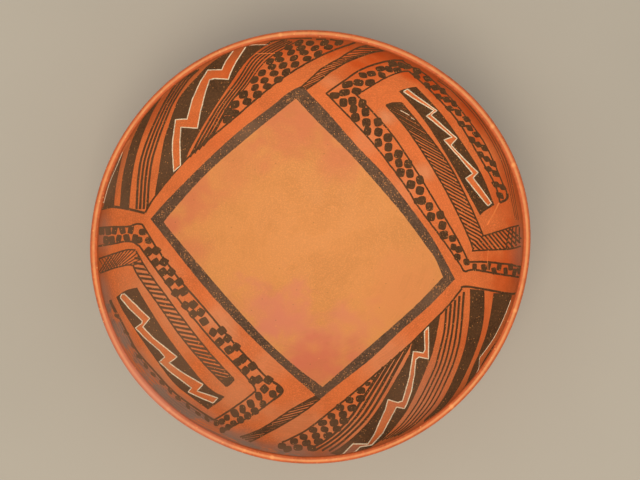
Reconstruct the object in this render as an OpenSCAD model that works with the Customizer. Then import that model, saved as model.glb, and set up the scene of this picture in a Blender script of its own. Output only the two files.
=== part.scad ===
// Coil-built pottery bowl: a round pat of clay for the base, a wall of clay
// ropes lapped one inside the other and scraped thin, and a rounded lip.
// Origin at the centre of the resting face, +Z up, millimetres.

/* [Vessel] */
// Diameter over the lip
rim_d = 260; // [200:1:320]
// Height from the resting face to the top of the lip
bowl_h = 108; // [90:1:125]
// Thickness of the wall just below the lip
wall_t = 3.8; // [3.4:0.1:4.3]
// Diameter of the lip's round, a little thicker than the wall
lip_d = 4.4; // [4.4:0.1:6]
// Thickness of the floor at its centre
floor_t = 4.8; // [4:0.1:8]
// Diameter of the flattened face that the bowl rests on
foot_d = 54; // [40:1:80]

/* [Coils] */
// Outside diameter of the base pat where the first coil starts
pat_d = 124; // [90:1:150]
// Number of wall coils between the base pat and the rim coil
wall_coils = 8; // [4:1:12]
// How far a coil laps down the inside of the one below it
coil_lap = 4; // [0:0.5:8]

/* [Hidden] */
// Fineness of every round surface
$fn = 180;
// How far a cutting outline runs past what it cuts
overcut = 4;

// Centre of the lip's round, in the wall's section
lip = [(rim_d - lip_d) / 2, bowl_h - lip_d / 2];

// Outside of the wall: a ball through the foot's edge, half a wall beyond the lip's centre.
// Its centre's height is the upper root of square_term z^2 - 4 lip.y reach z + rest = 0.
foot_r = foot_d / 2;
reach = lip * lip - foot_r ^ 2 - wall_t ^ 2 / 4;
square_term = 4 * lip.y ^ 2 - wall_t ^ 2;
rest = reach ^ 2 - (wall_t * foot_r) ^ 2;
outer_z = (2 * lip.y * reach + sqrt(4 * (lip.y * reach) ^ 2 - square_term * rest)) / square_term;
outer_r = norm([foot_r, outer_z]);

// Inside of the wall: a ball that rests on the floor, half a wall short of the lip's centre
depth = lip.y - floor_t;
inner_r = (lip.x ^ 2 + depth ^ 2 - wall_t ^ 2 / 4) / (2 * depth + wall_t);
inner_z = floor_t + inner_r;

// Angles on the outer ball, counted from straight down
pat_angle = asin(pat_d / 2 / outer_r);
lip_angle = atan2(lip.x, outer_z - lip.y);
// One more coil than the wall has, for the rim coil
coil_angle = (lip_angle - pat_angle) / (wall_coils + 1);
// The lap as an angle on the inner ball
lap_angle = coil_lap / inner_r * 180 / PI;

WALL_COILS = [for (i = [1 : wall_coils]) str("wall_coil_", i)];

clay = "#b5532d";
worn_clay = "#cf7345";

// Point in the wall's section, at an angle from straight down on a ball
function on_ball(r, z, angle) = [r * sin(angle), z - r * cos(angle)];

// Joint number i, from 0 at the base pat: its outer end and its inner end,
// each carried past the wall on the joint's own line
function joint(i) =
    let (
        angle = pat_angle + i * coil_angle,
        outer_end = on_ball(outer_r, outer_z, angle),
        inner_end = on_ball(inner_r, inner_z, angle - lap_angle),
        along = (outer_end - inner_end) / norm(outer_end - inner_end)
    )
    [outer_end + overcut * along, inner_end - overcut * along];

// Line square across the wall, through the lip's centre, where the wall ends in the lip
lip_line = let (across = on_ball(1, 0, lip_angle))
    [lip + wall_t / 2 * across, lip - wall_t / 2 * across];

// Section of the whole wall between the two balls, above the resting face
module wall_section() {
    difference() {
        translate([0, outer_z]) circle(outer_r);
        translate([0, inner_z]) circle(inner_r);
        translate([-rim_d, -rim_d]) square([2 * rim_d, rim_d]);
        translate([-2 * rim_d, -overcut]) square([2 * rim_d, 2 * rim_d]);
    }
}

// Part of the wall's section between two lines, each from its outer to its inner end
module between(low, high) {
    intersection() {
        wall_section();
        polygon([low[0], high[0], high[1], low[1]]);
    }
}

module base_pat() {
    edge = joint(0);
    below = -overcut;
    color(clay)
        rotate_extrude()
            intersection() {
                wall_section();
                polygon([[0, below], [edge[0].x, below], edge[0], edge[1], [0, edge[1].y]]);
            }
}

module wall_coil(i) {
    color(clay)
        rotate_extrude()
            between(joint(i - 1), joint(i));
}

module rim_coil() {
    color(worn_clay)
        rotate_extrude() {
            between(joint(wall_coils), lip_line);
            translate(lip) circle(lip_d / 2);
        }
}

base_pat();
for (i = [1 : wall_coils])
    wall_coil(i);
rim_coil();
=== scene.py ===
import math
from itertools import pairwise
from typing import NamedTuple

import bmesh
import bpy
import numpy as np
from bpy.props import FloatProperty, FloatVectorProperty, IntProperty, PointerProperty
from bpy.types import Operator, Panel, PropertyGroup
from mathutils import Matrix, Vector, kdtree, noise
from mathutils.geometry import delaunay_2d_cdt


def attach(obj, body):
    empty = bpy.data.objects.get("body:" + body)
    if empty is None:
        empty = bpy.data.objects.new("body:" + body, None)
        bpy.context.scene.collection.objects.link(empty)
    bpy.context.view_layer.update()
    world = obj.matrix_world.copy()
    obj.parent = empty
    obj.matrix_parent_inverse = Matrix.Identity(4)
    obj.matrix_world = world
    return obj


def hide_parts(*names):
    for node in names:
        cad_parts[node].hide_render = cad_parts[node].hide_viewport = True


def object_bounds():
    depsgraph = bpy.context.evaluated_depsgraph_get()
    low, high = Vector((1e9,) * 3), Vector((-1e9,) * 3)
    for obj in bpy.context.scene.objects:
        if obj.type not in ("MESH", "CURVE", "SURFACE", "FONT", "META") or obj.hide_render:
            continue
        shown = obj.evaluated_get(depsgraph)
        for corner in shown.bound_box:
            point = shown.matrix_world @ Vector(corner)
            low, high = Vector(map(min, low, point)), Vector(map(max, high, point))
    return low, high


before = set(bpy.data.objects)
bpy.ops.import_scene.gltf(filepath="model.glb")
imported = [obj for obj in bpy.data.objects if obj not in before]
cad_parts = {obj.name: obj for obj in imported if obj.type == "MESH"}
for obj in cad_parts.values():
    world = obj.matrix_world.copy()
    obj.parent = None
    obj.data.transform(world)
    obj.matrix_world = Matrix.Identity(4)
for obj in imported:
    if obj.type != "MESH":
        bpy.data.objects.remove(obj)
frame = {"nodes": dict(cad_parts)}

bl_info = {
    "name": "Painted Coil Bowl",
    "version": (1, 0, 0),
    "blender": (4, 5, 0),
    "location": "3D View > Sidebar > Bowl",
    "description": "Builds a red-slipped pottery bowl with a painted inside around its packed frame",
    "category": "Add Mesh",
}

CAD_LOW, CAD_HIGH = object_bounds()
MM = 0.001


def shade(code):
    """Linear colour from six hexadecimal digits of red, green and blue."""
    levels = [int(code[i:i + 2], 16) / 255 for i in (0, 2, 4)]
    return [level / 12.92 if level <= 0.04045 else ((level + 0.055) / 1.055) ** 2.4 for level in levels]


def colour(name, code, description):
    """Colour property with a default from six hexadecimal digits."""
    return FloatVectorProperty(name=name, description=description, default=shade(code),
                               subtype="COLOR", size=3, min=0, max=1)


def length(name, default, description):
    """Length property in metres."""
    return FloatProperty(name=name, description=description, default=default, unit="LENGTH", precision=5)


# Settings that a user would change

class BowlShape(PropertyGroup):
    """Sizes of the clay body"""

    rim_diameter: length("Rim diameter", CAD_HIGH.x - CAD_LOW.x, "Diameter over the lip")
    height: length("Height", CAD_HIGH.z, "Height from the resting face to the top of the lip")
    wall: length("Wall", 3.8 * MM, "Thickness of the wall just below the lip")
    lip: length("Lip", 4.4 * MM, "Diameter of the lip's round")
    floor: length("Floor", 4.8 * MM, "Thickness of the floor at its centre")
    foot_diameter: length("Foot diameter", 54 * MM, "Diameter of the flattened resting face")
    out_of_round: FloatProperty(name="Out of round", default=0.0091, subtype="FACTOR", min=0, max=0.03,
                                description="Share by which the rim is wider one way than the other")
    wide_way: FloatProperty(name="Wide way", default=math.radians(19), subtype="ANGLE",
                            description="Turn from the X axis to the way in which the rim is widest")
    lobed: FloatProperty(name="Lobed", default=0.0042, subtype="FACTOR", min=0, max=0.02,
                         description="Share by which the hand-made rim has lobes and flats")
    uneven: length("Unevenness", 0.28 * MM, "How far the scraped wall waves in and out")
    rim_wave: length("Rim wave", 0.45 * MM, "How far the lip waves up and down")
    facet: length("Facet", 3 * MM, "Length of a mesh facet up the wall")
    segments: IntProperty(name="Segments", default=360, min=48, description="Mesh facets round the bowl")


class PaintLayer(PropertyGroup):
    """How the painted pattern lies on the clay"""

    proud: length("Proud", 0.05 * MM, "How far paint of layer 0 stands above the slip")
    layer_step: length("Layer step", 0.008 * MM, "How much higher each later layer stands")
    sunk: length("Sunk", 0.18 * MM, "How far a paint film reaches into the clay")
    facet: length("Facet", 3.6 * MM, "Spacing of the mesh points inside a painted field")
    waver: length("Waver", 0.2 * MM, "How far a brushed edge strays from its line")


class BowlColours(PropertyGroup):
    """Colours of the clay, slip and paint"""

    slip: colour("Slip", "e0793e", "Red slip on the inside wall")
    # Painted shade: darker, redder slip on the upper and right wall, mostly near the lip
    deep: colour("Deep slip", "cc4c0c", "Slip of the inside wall where it is thickest and reddest")
    # Painted light: paler, greyer slip in patches, mostly over the lower wall
    rubbed: colour("Rubbed slip", "e49a68", "Slip of the inside wall where it is rubbed thin")
    # Painted shade and sheen: grey that dulls the slip and the worn paint under the lip, mostly on the
    # lower wall
    shade_and_sheen_grey: colour("Dull slip", "9c8470", "Slip and thin paint under the lip that have lost their polish")
    floor: colour("Floor", "e09854", "Ochre slip inside the frame")
    # Painted shade: the slip just under the lip is darkened as if in the lip's shadow
    under_lip_shade: colour("Shaded slip", "6a2a0c", "Slip just under the lip, darkened by handling and smoke")
    blush: colour("Blush", "da7654", "Redder patches on the floor")
    pink: colour("Pink", "e08766", "Pinker patches on the floor and the lip")
    lip: colour("Lip", "c85e2d", "Slip on the lip")
    # Partly bare clay from wear and partly a painted highlight along the lip's crest
    crest: colour("Crest", "e29153", "Clay laid bare along the lip's crest")
    outside: colour("Outside", "b9572e", "Slip outside the bowl")
    foot: colour("Foot", "bf7a52", "Bare clay on the resting face")
    smoke: colour("Smoke", "4a352a", "Fire clouds outside the bowl")
    black: colour("Black", "543a20", "Mineral black paint")
    frame: colour("Frame", "634b36", "Black paint of the frame, rubbed by use of the floor")
    # Painted sheen: paler, greyer black paint on the left and lower wall
    faded: colour("Faded", "805c44", "Black paint worn thin near the lip")
    paint_sheen: colour("Dusty paint", "86684c", "Black paint dulled by dust and rubbing")
    white: colour("White", "f4dab2", "White outline paint")


class StudioLook(PropertyGroup):
    """Floor, light and camera"""

    floor: colour("Floor", "b4a998", "Pale studio floor")
    sky: FloatProperty(name="Sky", default=0.72, min=0,
                       description="Strength of the even light from all round")
    lamp: FloatProperty(name="Lamp", default=11, min=0, unit="POWER",
                        description="Power of the soft lamp")
    lens: FloatProperty(name="Lens", default=61.7, unit="CAMERA",
                        description="Focal length on a 36 mm sensor")
    camera_height: length("Camera height", 758.8 * MM, "Height of the camera over the resting face")


SETTINGS = {"bowl_shape": BowlShape, "paint_layer": PaintLayer, "bowl_colours": BowlColours,
            "studio_look": StudioLook}


def settings(name):
    return getattr(bpy.context.scene, name)


# Photograph's frame, in pixels

PHOTO_WIDTH, PHOTO_HEIGHT = 640, 480
# Pixel under the bowl's axis
AXIS_PIXEL = Vector((310.2, 246.2))
# Width of the camera's sensor, in millimetres
SENSOR = 36


# Brushed lines, in photograph pixels

# Spacing of the points on a brushed line
BRUSH_STEP = 1.6


def smooth(points):
    """Points a brush step apart on a curve that passes through all the given points."""
    knots = [Vector(point) for point in points]
    ends = [knots[0], *knots, knots[-1]]
    made = []
    for before, start, end, after in zip(ends, ends[1:], ends[2:], ends[3:]):
        count = max(1, round((end - start).length / BRUSH_STEP))
        for i in range(count):
            t = i / count
            bend = 2 * before - 5 * start + 4 * end - after + t * (3 * (start - end) + after - before)
            made.append(start + 0.5 * t * (end - before + t * bend))
    return [*made, knots[-1]]


def straight(points):
    """Points a brush step apart on the straight lines that join the given points."""
    made = []
    for start, end in pairwise(map(Vector, points)):
        count = max(1, round((end - start).length / BRUSH_STEP))
        made += [start.lerp(end, i / count) for i in range(count)]
    return [*made, Vector(points[-1])]


def spread(line, count):
    """A number of points evenly along a line, from end to end."""
    reach = np.cumsum([0] + [(end - start).length for start, end in pairwise(line)])
    goals = np.linspace(0, reach[-1], count)
    across = np.interp(goals, reach, [point.x for point in line])
    down = np.interp(goals, reach, [point.y for point in line])
    return [Vector(point) for point in zip(across, down)]


def ribbon(line, width, end_width=None):
    """Outline of a brush stroke along a line, which may have another width at its end."""
    widths = np.linspace(width, end_width or width, len(line))
    left, right = [], []
    for before, here, after, across in zip([line[0], *line], line, [*line[1:], line[-1]], widths):
        side = (after - before).orthogonal().normalized() * across / 2
        left.append(here + side)
        right.append(here - side)
    return left + right[::-1]


def loop(sides):
    """One outline from several smooth sides that meet at corners."""
    return [point for side in sides for point in smooth(side)]


def rounded(value, power):
    """Value between -1 and 1 raised to a power, with its sign kept."""
    return math.copysign(abs(value) ** power, value)


# Marks of the painted pattern, in photograph pixels, each with the outlines that it fills

# Points along each line of a bundle, steps along a hatched band's edge and points round a dab
BUNDLE_POINTS = 40
HATCH_STEPS = 200
DAB_POINTS = 16
# How far dabs of one kind differ in width, as a share, and in turn, and how fast from dab to dab
DAB_STRAY = 0.08
STRAY_PACE = 2.4
DAB_TWIST = 0.25
TWIST_PACE = 3.7
# Width of the white line round a zigzag, and of the lines that edge a hatched band
ZIGZAG_LINE = 1
HATCH_EDGE = 1.5


class Line(NamedTuple):
    """Brushed line."""
    width: float
    points: list

    def outlines(self):
        return [ribbon(smooth(self.points), self.width)]


class Stripe(NamedTuple):
    """Solid stripe between two edges."""
    first: list
    last: list

    def outlines(self):
        return [smooth(self.first) + smooth(self.last)[::-1]]


class Bundle(NamedTuple):
    """Fine lines side by side, from a first one to a last one, each thinner at its end."""
    count: int
    width: float
    end_width: float
    first: list
    last: list

    def outlines(self):
        first = spread(smooth(self.first), BUNDLE_POINTS)
        last = spread(smooth(self.last), BUNDLE_POINTS)
        made = []
        for i in range(self.count):
            share = i / (self.count - 1)
            line = [start.lerp(end, share) for start, end in zip(first, last)]
            made.append(ribbon(line, self.width, self.end_width))
        return made


class Hatch(NamedTuple):
    """Strokes across a band, each ending further along by the lean, a share of the band."""
    count: int
    width: float
    lean: float
    first: list
    last: list

    def outlines(self):
        first = spread(smooth(self.first), HATCH_STEPS + 1)
        last = spread(smooth(self.last), HATCH_STEPS + 1)
        lean = abs(self.lean)
        if self.lean < 0:
            first, last = last, first
        made = []
        for i in range(-math.floor(lean * self.count), self.count):
            share = (i + 0.5) / self.count
            far_share = share + lean
            if share < 0:
                start = first[0].lerp(last[0], -share / lean)
            else:
                start = first[round(share * HATCH_STEPS)]
            if far_share > 1:
                end = last[-1].lerp(first[-1], (far_share - 1) / lean)
            else:
                end = last[round(far_share * HATCH_STEPS)]
            if (end - start).length > self.width:
                made.append(ribbon(straight([start, end]), self.width))
        return made


class Dabs(NamedTuple):
    """Blocks of paint, whose tops lean right; a roundness of 0 is square, 1 round and 2 a diamond."""
    width: float
    height: float
    lean: float
    roundness: float
    centres: list

    def outlines(self):
        made = []
        for i, centre in enumerate(self.centres):
            size = 1 + DAB_STRAY * math.sin(STRAY_PACE * i)
            twist = Matrix.Rotation(DAB_TWIST * math.sin(TWIST_PACE * i), 2)
            outline = []
            for k in range(DAB_POINTS):
                angle = 2 * math.pi * k / DAB_POINTS
                across = rounded(math.cos(angle), self.roundness) * size * self.width / 2
                up = rounded(math.sin(angle), self.roundness) * self.height / 2
                outline.append(Vector(centre) + twist @ Vector((across + self.lean * up, -up)))
            made.append(outline)
        return made


class Zigzag(NamedTuple):
    """Solid field between sides, with a bare zigzag in it that may run out at the rim."""
    sides: list
    left: list
    right: list
    rim_end: list

    def outlines(self):
        return [loop(self.sides)]

    def hole(self):
        """Outline of the bare zigzag, carried past the rim where it runs out there."""
        return straight([*self.left, *self.right[::-1], *self.rim_end])

    def white_outline(self):
        """Outline of the white line along the zigzag, open where it runs out at the rim."""
        points = [*self.left, *self.right[::-1], self.left[0]]
        if self.rim_end:
            upper, lower = sorted([self.left, self.right], key=lambda side: side[0][1])
            points = [*upper, *lower[::-1]]
        return ribbon(straight(points), ZIGZAG_LINE)


def outlines_of(marks):
    return [outline for mark in marks for outline in mark.outlines()]


# Painted pattern

FRAME_OUTER = [
    [(150.5, 219), (170, 197), (228, 140.5), (272, 106), (288, 92.8), (302, 85.5)],
    [(302, 85.5), (306, 90), (330, 115), (357, 146), (384, 174), (408, 204), (433, 239), (455, 279)],
    [(455, 279), (430, 305), (400, 331.5), (372, 358), (340, 383), (319, 400)],
    [(313.5, 393.5), (282, 366), (253, 339), (225, 310), (197, 278), (150.5, 219)],
]
FRAME_INNER = [
    [(163.5, 222), (178, 204.5), (208, 172), (245, 139.5), (296, 98.5)],
    [(296, 98.5), (321, 125), (350, 153.5), (378, 185), (404, 216), (427, 247), (436, 260), (443, 277)],
    [(443, 277), (417, 304), (386, 332), (356, 358), (322.5, 387)],
    [(322.5, 387), (292, 363.5), (262, 336), (230, 301), (200, 266), (173, 234), (163.5, 222)],
]

FAN_STRIPES = [
    Stripe([(123.5, 152), (114.5, 172), (108, 190), (103, 207)],
           [(123.5, 152), (119, 170), (115.5, 190), (114, 206.5)]),
    Stripe([(163.5, 95), (151.5, 105), (142, 120), (132.3, 140), (126.3, 160), (122, 180), (119.8, 207)],
           [(163.5, 95), (154, 110), (145, 130), (138, 150), (133.3, 170), (130.5, 190), (129, 209)]),
    Stripe([(493.5, 293), (491, 312), (486, 335), (478, 356), (473, 367), (466, 384), (458, 395)],
           [(512, 294), (511, 300), (504, 318), (494, 338), (483, 354), (480, 358), (479, 367),
            (468, 386), (458, 395)]),
    Stripe([(470, 289), (470, 310), (468, 330), (464, 350), (457, 370), (448, 390), (437, 407),
            (424, 420)],
           [(484.5, 290.5), (484.5, 310), (482, 330), (476, 350), (467.5, 370), (457, 390), (443, 408),
            (424, 422)]),
]

FAN_LINES = [
    Line(2.6, [(101, 209), (108, 207.3), (114, 206.8), (127, 208.8), (144.5, 213)]),
    Line(1.8, [(145, 212.5), (156, 195), (186, 159.5), (240, 113), (280, 80), (320, 56), (356, 42)]),
    Line(1.2, [(212, 137.5), (222.5, 118), (234, 98.5), (244.5, 88.5), (261, 66), (275, 53.8),
               (296, 41.5)]),
    Line(1.6, [(266, 45), (274, 40.5), (285, 38.6), (300, 37.6), (312, 38)]),
    Line(1.6, [(316, 39), (326, 39)]),
    Line(1.5, [(330, 39.3), (338, 40.5)]),
    Line(2.2, [(461, 287.5), (466, 286.5), (480, 288.5), (508, 293.5), (516, 293.5)]),
    Line(1.8, [(462, 288.5), (447.5, 306.5), (428.8, 325.5), (404, 349.8), (377.5, 372.5),
               (350.5, 395.3), (328, 413.5), (310, 427.8), (298.5, 434.7), (282, 442.5)]),
]
FAN_BUNDLES = [
    Bundle(4, 2.3, 1.6,
           [(136.4, 209), (138, 180), (141, 160), (147.5, 140), (156, 120), (165.5, 101), (179.5, 80),
            (192, 70)],
           [(147, 209), (149, 180), (152, 160), (158, 140), (165.5, 120), (174, 101), (188, 80),
            (199, 69.5)]),
    Bundle(4, 2.2, 1.4,
           [(190, 157), (204, 130), (219, 105), (238.5, 79), (251, 60), (261, 52), (271, 45.5),
            (285, 39)],
           [(203, 146), (214.5, 130), (228.5, 105.5), (245, 84), (256.5, 67), (265, 58), (275, 50.5),
            (292, 41.5)]),
    Bundle(5, 2.3, 0.9,
           [(446.5, 308), (444.5, 330), (440, 350), (434, 370), (419, 400), (405.5, 420), (396, 430),
            (382, 440.5)],
           [(464, 292), (461, 330), (457.5, 350), (451, 370), (436.5, 400), (422, 418), (411, 427.5),
            (398, 435.5)]),
    Bundle(4, 3.1, 1.9,
           [(383.5, 367), (374.5, 381), (362, 400), (348.5, 420), (329, 438), (308, 450)],
           [(409.5, 345), (401, 360), (390, 380), (378.5, 400), (365, 420), (344.5, 440), (329, 451)]),
]

ZIGZAGS = [
    Zigzag([[(207, 66.5), (194, 80), (185, 90), (177.5, 101), (170.5, 120), (164, 140), (160.3, 160),
             (154.5, 196)],
            [(154.5, 196.5), (186, 160.5)],
            [(186, 158.5), (191, 147), (207, 119), (226, 90), (247, 61), (267, 44.3)],
            [(267, 44.3), (246, 46.8), (224, 55), (207, 66.5)]],
           [(233.5, 50.5), (225.5, 62), (221.8, 69.8), (208, 70), (200, 82), (192, 99.5), (186.8, 118.7),
            (175.3, 119.5), (172.6, 140), (172.2, 150), (173.5, 171.5)],
           [(246, 46.8), (236, 62), (230.5, 73), (228.5, 79.2), (215, 78.4), (209.5, 79.8), (205, 92.5),
            (200.5, 110), (197.2, 128), (180.7, 127), (179.7, 140), (180.3, 165.5)],
           [(248, 42), (232, 45)]),
    Zigzag([[(399, 91), (424, 120), (447, 156), (471, 199), (480, 215.5)],
            [(480, 215.5), (484, 211.5), (494.5, 205)],
            [(494.5, 205), (481, 173), (461, 141), (440, 112), (416, 86.5)],
            [(416, 86.5), (404, 89), (399, 91)]],
           [(403.5, 91.5), (417, 100.5), (434, 110.5), (426.5, 116), (440, 127), (452, 137), (444, 140),
            (458, 156), (472.5, 173.5), (465.5, 178.5), (479, 195), (488, 206)],
           [(407.5, 89), (420, 98.5), (437, 110.5), (431, 115), (457, 138.5), (451, 145), (463, 158),
            (478, 172.5), (473, 178), (483, 191), (491.5, 203)],
           []),
    Zigzag([[(441, 312), (439, 322), (435, 343), (430, 360), (413, 399), (401, 419), (384, 438),
             (362, 452.5)],
            [(362, 452.5), (346, 456), (330, 453)],
            [(330, 453), (341, 447), (361, 430), (377, 410), (400, 372), (409, 355), (413, 342),
             (423, 331)],
            [(423, 331), (441, 312)]],
           [(341, 456), (353, 444), (368, 444), (374, 435), (385, 410), (388, 399.5), (398, 402.5),
            (402.5, 401), (409.5, 377), (413.5, 351.5), (423.5, 353), (425, 350), (424.5, 331.5)],
           [(353, 454), (360, 447), (372, 445), (383, 433), (396.5, 407), (404.5, 408.5), (407, 404),
            (411.5, 391), (414.5, 375), (416, 359.5), (419, 357), (428.5, 359), (428.8, 345),
            (428.5, 327)],
           [(352, 460), (338, 460)]),
    Zigzag([[(116, 297), (125, 314.5), (148, 349), (173, 382), (192, 397.5), (208, 409.5)],
            [(208, 409.5), (222, 399.5), (224.5, 396.5)],
            [(224.5, 396.5), (212, 390), (197, 375), (167, 336), (146, 303), (137, 287.5)],
            [(137, 287.5), (127, 290), (116, 297)]],
           [(120, 297.5), (129, 308.5), (142, 321), (141.5, 323.5), (135, 328), (145, 338.5),
            (159, 350.5), (164.5, 357), (159, 362), (170, 372), (191.5, 388), (188, 392), (202, 398.5),
            (213, 403)],
           [(121.5, 294.5), (124.5, 294), (149.5, 318.5), (142.5, 327), (153, 338), (177, 357),
            (169, 363), (183, 373), (203, 384.5), (197, 391), (218, 398)],
           []),
]

CHECKER_DABS = [
    # Upper left fan, from the rim down
    Dabs(8.8, 6, 0.45, 0.85, [
        (339, 42.5), (324.5, 42.5), (310, 43), (299, 42.5), (328.5, 47), (315, 48), (301, 48),
        (288.5, 47.5), (318, 53.5), (304, 52.5), (291, 52.5), (278, 54.5), (307, 58.5), (294, 58),
        (279.5, 59.5), (270, 61.5)]),
    Dabs(8.4, 6.8, 0.35, 0.8, [
        (295, 64.5), (283, 65.5), (272, 67), (286, 72), (274, 73.5), (262, 73), (278.5, 79.5),
        (264.5, 80.5), (254.5, 80), (267.5, 86.5), (255, 87.5)]),
    Dabs(9, 7.8, 0.2, 0.65, [
        (257.5, 94.5), (243.5, 94.5), (247, 101.5), (235, 104.5), (234.5, 113), (228, 111.5),
        (227.5, 119.5)]),
    # Upper right band, long leg
    Dabs(8.3, 9, 0, 0.65, [
        (343.5, 102.5), (352.5, 101), (353.5, 109), (355.5, 117.5), (362.5, 103.5), (365.5, 112),
        (366.5, 122.5), (367.5, 131), (378, 122), (378.5, 132), (378.5, 142.5), (388, 137.5),
        (388.5, 147), (389, 157), (398.5, 154), (399, 163), (400.5, 172.5), (408.5, 164), (410, 173.5),
        (411, 184.5), (420, 180), (420, 190.5), (422, 200.5), (429.5, 206.5), (431, 216.5), (440.5, 215),
        (442.5, 225.5), (444, 235)]),
    Dabs(6.6, 7, -0.1, 0.7, [
        (417, 201), (452.5, 238.5), (453.5, 247), (458.5, 249.5), (457.5, 257), (466.5, 262)]),
    # Upper right band, top and short leg
    Dabs(10.6, 6.9, 0.1, 0.65, [
        (334.5, 95.5), (344.5, 92.5), (356.5, 91), (347.5, 84.5), (358.5, 82.5), (370, 82.5)]),
    Dabs(8.4, 5.8, -0.35, 0.6, [
        (363, 75), (371.5, 73.5), (382, 75), (380.5, 68.5), (389, 69), (397.5, 70), (393, 64),
        (401.5, 65), (407, 66.5), (417, 70.5)]),
    Dabs(6.6, 6.2, -0.5, 0.4, [
        (416.5, 75.5), (427.5, 78.5), (427.5, 85.5), (435, 87.5), (443, 91), (438.5, 96.5),
        (446.5, 99.5), (454, 103.5), (449.5, 108.5), (458, 112.5), (466.5, 119), (461.5, 124),
        (469.5, 128), (476.5, 134.5), (472, 140), (478, 144.5), (484.5, 148), (480.5, 154.5), (487, 159),
        (493, 163.5), (488.5, 169), (495.5, 173.5), (496, 184.5), (502.5, 187), (500, 195.5)]),
    # Right arm
    Dabs(4.6, 7, 0, 0.4, [
        (474.5, 267), (483.5, 267.5), (488.5, 266.5), (494, 271), (499, 267), (505.5, 271), (510.5, 267),
        (514.5, 272), (519.5, 271)]),
    # Lower right fan, from its tip
    Dabs(5.4, 3.8, 0.3, 0.8, [(373.8, 378.5), (368, 384)]),
    Dabs(8.9, 7, 0, 0.7, [
        (361, 390.5), (360.5, 398.5), (349.5, 400), (352, 408), (340, 407.5), (343, 414.5), (344, 421),
        (331.5, 416.5), (334, 423)]),
    Dabs(8.9, 6.2, 0, 0.75, [
        (337, 429), (322.5, 423), (324.5, 429.5), (328, 435.5), (313, 430), (316, 436), (318.5, 441.5),
        (303.5, 437), (306.5, 443), (311.5, 448), (294, 441.5), (298, 447.5), (282, 446), (287.5, 449)]),
    # Left arm
    Dabs(5.6, 8.2, 0, 0.35, [(101.5, 231), (108, 231), (114.5, 230.5), (122.5, 230), (130.8, 229.8)]),
    Dabs(5.8, 7.8, 0, 0.4, [(105.8, 240), (111.8, 239.8), (118.7, 238.6), (126.6, 238), (135, 238)]),
    # Lower left band
    Dabs(7.8, 7, 0, 0.8, [(142.6, 232), (138.5, 240), (148.5, 240.5)]),
    Dabs(10.3, 9.9, 0, 1.6, [
        (148.7, 251.5), (156, 250.5), (155.5, 262.5), (164, 262), (163, 272), (171.3, 272), (169.7, 282),
        (179.5, 282), (176, 293), (183.5, 291.5), (185.5, 305.5), (193, 304.5), (193, 314),
        (200.5, 312.5), (204, 321.5), (213, 332.5), (221.8, 330.8), (219.5, 342), (227.5, 338.5),
        (229, 350), (236.3, 347), (237.3, 362.5), (242.5, 359), (245.5, 370.5), (252.6, 366.3),
        (253, 380.5), (258.5, 379.5), (268.3, 380), (264.4, 389)]),
    Dabs(7.2, 8.8, -0.2, 0.7, [(258.8, 396.2), (250.8, 403.6), (242.6, 409), (234.8, 413)]),
    Dabs(7.4, 7.6, -0.1, 0.75, [
        (279.5, 389.5), (272.8, 394), (263, 404), (254.8, 411), (247.6, 415.6), (240.4, 419.6)]),
    Dabs(6.2, 6.4, 0, 0.8, [
        (227, 417.5), (222, 421.5), (216.5, 423), (233.5, 423.3), (228, 427), (222.5, 430)]),
]

CHECKER_BORDERS = [
    # Upper right band
    Line(1.8, [(404, 60.5), (392, 60.3), (377, 63.5), (360, 70), (345, 80), (326, 93.5)]),
    Line(1.7, [(326, 93), (354, 122), (377, 148), (404, 184), (419, 207.5), (437.5, 232.5), (454, 255.5),
               (464, 271)]),
    Line(1.5, [(409, 71), (400, 72), (383, 79), (362, 91.5), (355, 93)]),
    Line(1.7, [(355, 93), (380, 120), (397, 141), (419, 175), (438, 206.5), (449, 224.5), (459, 242),
               (468, 261)]),
    Line(1.3, [(403, 61), (413, 67.5), (428, 76), (453, 100.5), (475.5, 129.5), (488.5, 150.5),
               (504, 186), (507, 193)]),
    Line(2.4, [(507, 193), (507.5, 197), (505.5, 200), (500, 202.5)]),
    Line(1.6, [(409, 71), (430.5, 90.5), (457, 120), (477, 152.5), (494.5, 183.5), (500, 202.5)]),
    # Right arm
    Line(2, [(467, 262), (478, 261.8), (487, 262), (500, 263.4), (508, 264.2), (521, 267)]),
    Line(2, [(463, 270), (465.5, 271.5), (470, 270), (478, 270.3), (496, 273.5), (521, 277.5)]),
    # Left arm
    Line(1.9, [(98, 228), (110, 227), (129, 226.5), (133, 225), (137, 224), (142, 224.3)]),
    Line(1.9, [(98, 246.2), (115, 243.5), (122, 241.8), (130, 241.5), (135, 243), (139, 246)]),
    # Lower left band
    Line(1.9, [(142, 224), (158, 250), (180, 280), (204, 308), (232, 341), (262, 373), (275, 383)]),
    Line(2.5, [(273, 382), (280, 386.5), (282.5, 390.5), (280, 395), (273, 400)]),
    Line(1.8, [(274, 399.5), (258, 411), (240, 422), (222, 432)]),
    Line(1.8, [(139, 245.5), (159, 273), (183, 305), (210, 338), (241, 371), (253, 385), (256, 391)]),
    Line(1.8, [(256, 391), (243, 401), (228, 411.5), (214, 420)]),
]

HATCHED_BANDS = [
    Hatch(13, 1, 0.22,
          [(300, 88), (310, 79), (320, 70), (330, 63.5), (340, 58), (350, 51.5), (360, 47), (370, 45)],
          [(306, 89.5), (320, 80), (330, 72), (340, 66), (350, 60.5), (370, 53), (386, 50)]),
    Hatch(31, 1.6, 0.165,
          [(386, 105), (407, 129), (431, 165), (453, 204), (469, 238), (473, 250)],
          [(402, 103), (425, 131), (448, 163), (468, 201), (483, 235)]),
    Hatch(13, 1.35, -0.24,
          [(316, 396), (303, 403), (289, 411), (274, 421), (258, 430.5), (240, 437)],
          [(320, 399), (306, 410), (288, 421.5), (270, 431.5), (250, 442)]),
    Hatch(26, 2.2, 0.115,
          [(133, 265), (139, 277), (160, 307), (181, 337), (204, 364), (226.5, 386.5)],
          [(136, 251), (148, 271), (169, 300), (192, 331), (214, 358), (234, 379.5)]),
]
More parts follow.
